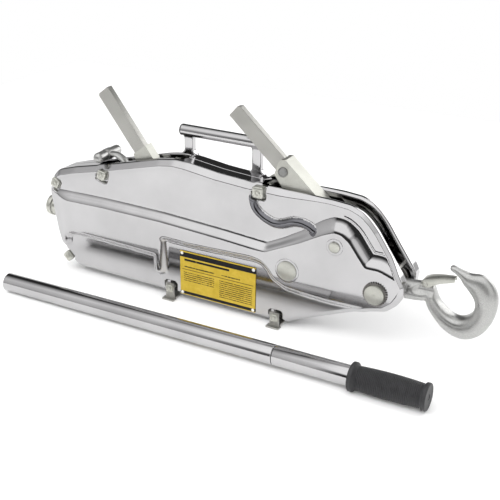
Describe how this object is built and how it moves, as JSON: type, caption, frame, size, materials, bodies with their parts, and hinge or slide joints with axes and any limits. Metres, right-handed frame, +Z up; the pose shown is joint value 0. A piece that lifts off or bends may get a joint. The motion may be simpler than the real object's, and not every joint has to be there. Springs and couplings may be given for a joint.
{
  "type": "come along winch",
  "caption": "Wire-rope grip puller with a pressed chrome casing, forward, reverse and release levers, carry handle, latched hook and a loose telescopic operating handle.",
  "frame": {"origin": "bottom centre of the whole set, on the floor it stands on", "axes": "+X along the rope towards the hook, +Y from the data plate side to the rear cover, +Z up"},
  "size_m": [0.799, 0.2094, 0.339],
  "materials": {
    "chrome": "bright chrome plate",
    "zinc": "satin zinc plate, slightly yellow",
    "steel": "machined, lightly oiled",
    "plate": "printed yellow and black label plate",
    "rubber": "matt black, ribbed"
  },
  "bodies": {
    "casing": {"front_cover": "chrome", "rear_cover": "chrome", "tie_bolt_1": "zinc", "tie_bolt_2": "zinc", "tie_bolt_3": "zinc", "tie_bolt_6": "zinc", "foot_1": "zinc", "foot_bolt_1": "zinc", "foot_2": "zinc", "foot_bolt_2": "zinc", "anchor_pin": "zinc", "anchor_retaining_ring_front": "steel", "anchor_retaining_ring_rear": "steel", "crank_trunnion_front": "zinc", "crank_trunnion_rear": "zinc", "lever_pivot_pin": "zinc", "reverse_pivot_pin": "steel", "release_pivot_pin": "steel", "rope_outlet_pin": "zinc", "rope_guide_bush": "zinc", "carry_handle_bar": "chrome", "carry_handle_leg_left": "chrome", "carry_handle_leg_right": "chrome", "carry_handle_plug_left": "rubber", "carry_handle_plug_right": "rubber", "data_plate": "plate"},
    "forward_lever": {"forward_lever_arm": "zinc", "forward_lever_channel": "zinc", "forward_lever_shear_pin": "zinc", "forward_lever_crank_pin": "steel"},
    "crank": {"crank_cheek_front": "steel", "crank_cheek_rear": "steel", "crank_upper_pin": "steel", "crank_lower_pin": "steel"},
    "drive_link": {"drive_link_front": "steel", "drive_link_rear": "steel"},
    "near_jaw": {"near_jaw_box": "steel", "near_upper_jaw": "steel", "near_lower_jaw": "steel", "near_pull_rod": "steel", "near_rod_pin": "steel"},
    "far_jaw": {"far_jaw_box": "steel", "far_upper_jaw": "steel", "far_lower_jaw": "steel", "far_pull_rod": "steel", "far_rod_pin": "steel"},
    "reverse_lever": {"reverse_lever_arm": "zinc", "reverse_lever_hub": "zinc", "reverse_crank_pin": "steel"},
    "reverse_bar": {"reverse_shift_bar": "steel"},
    "release_lever": {"release_lever_stem": "zinc", "release_lever_t_bar": "zinc", "release_cam": "steel"},
    "hook": {"hook": "zinc", "hook_latch_pin": "steel"},
    "hook_latch": {"hook_latch": "zinc"},
    "operating_handle": {"handle_socket_end": "chrome", "handle_outer_tube": "chrome"},
    "handle_extension": {"handle_inner_tube": "chrome", "handle_grip": "rubber"}
  },
  "joints": [
    {"name": "forward_lever_swing", "type": "hinge", "parent": "casing", "child": "forward_lever", "pos_m": [0.1625, 0.05875, 0.16203], "axis": [0, 1, 0], "range_deg": [0, 65]},
    {"name": "crank_rock", "type": "hinge", "parent": "casing", "child": "crank", "pos_m": [0.0865, 0.05875, 0.10572], "axis": [0, 1, 0], "range_deg": [-35.05, 0]},
    {"name": "drive_link_level", "type": "hinge", "parent": "crank", "child": "drive_link", "pos_m": [0.09853, 0.05875, 0.14387], "axis": [0, 1, 0], "range_deg": [0, 35.05]},
    {"name": "near_jaw_travel", "type": "slide", "parent": "casing", "child": "near_jaw", "axis": [1, 0, 0], "range_m": [0, 0.0242]},
    {"name": "far_jaw_travel", "type": "slide", "parent": "casing", "child": "far_jaw", "axis": [1, 0, 0], "range_m": [-0.0242, 0]},
    {"name": "reverse_lever_swing", "type": "hinge", "parent": "casing", "child": "reverse_lever", "pos_m": [-0.1595, 0.05875, 0.18552], "axis": [0, 1, 0], "range_deg": [0, 42]},
    {"name": "reverse_bar_travel", "type": "slide", "parent": "casing", "child": "reverse_bar", "axis": [1, 0, 0], "range_m": [-0.018, 0]},
    {"name": "release_lever_swing", "type": "hinge", "parent": "casing", "child": "release_lever", "pos_m": [-0.2135, 0.05875, 0.17003], "axis": [0, 1, 0], "range_deg": [0, 24]},
    {"name": "hook_swing", "type": "hinge", "parent": "casing", "child": "hook", "pos_m": [0.23, 0.05875, 0.10253], "axis": [0, 1, 0], "range_deg": [-16, 50]},
    {"name": "hook_latch_open", "type": "hinge", "parent": "hook", "child": "hook_latch", "pos_m": [0.2935, 0.05875, 0.12102], "axis": [0, 1, 0], "range_deg": [0, 40], "stiffness_Nm_per_rad": 0.1, "springref_deg": -20.05},
    {"name": "operating_handle_lift", "type": "slide", "parent": "casing", "child": "operating_handle", "axis": [0, 0, 1], "range_m": [0, 0.3]},
    {"name": "handle_extend", "type": "slide", "parent": "operating_handle", "child": "handle_extension", "axis": [1, 0, 0.0096], "range_m": [0, 0.4]}
  ],
  "couplings": [
    {"joint": "crank_rock", "follows": "forward_lever_swing", "ratio": -0.53846},
    {"joint": "drive_link_level", "follows": "forward_lever_swing", "ratio": 0.53846},
    {"joint": "near_jaw_travel", "follows": "forward_lever_swing", "m_per_rad": 0.021205},
    {"joint": "far_jaw_travel", "follows": "forward_lever_swing", "m_per_rad": -0.021205},
    {"joint": "reverse_bar_travel", "follows": "reverse_lever_swing", "m_per_rad": -0.024444}
  ]
}
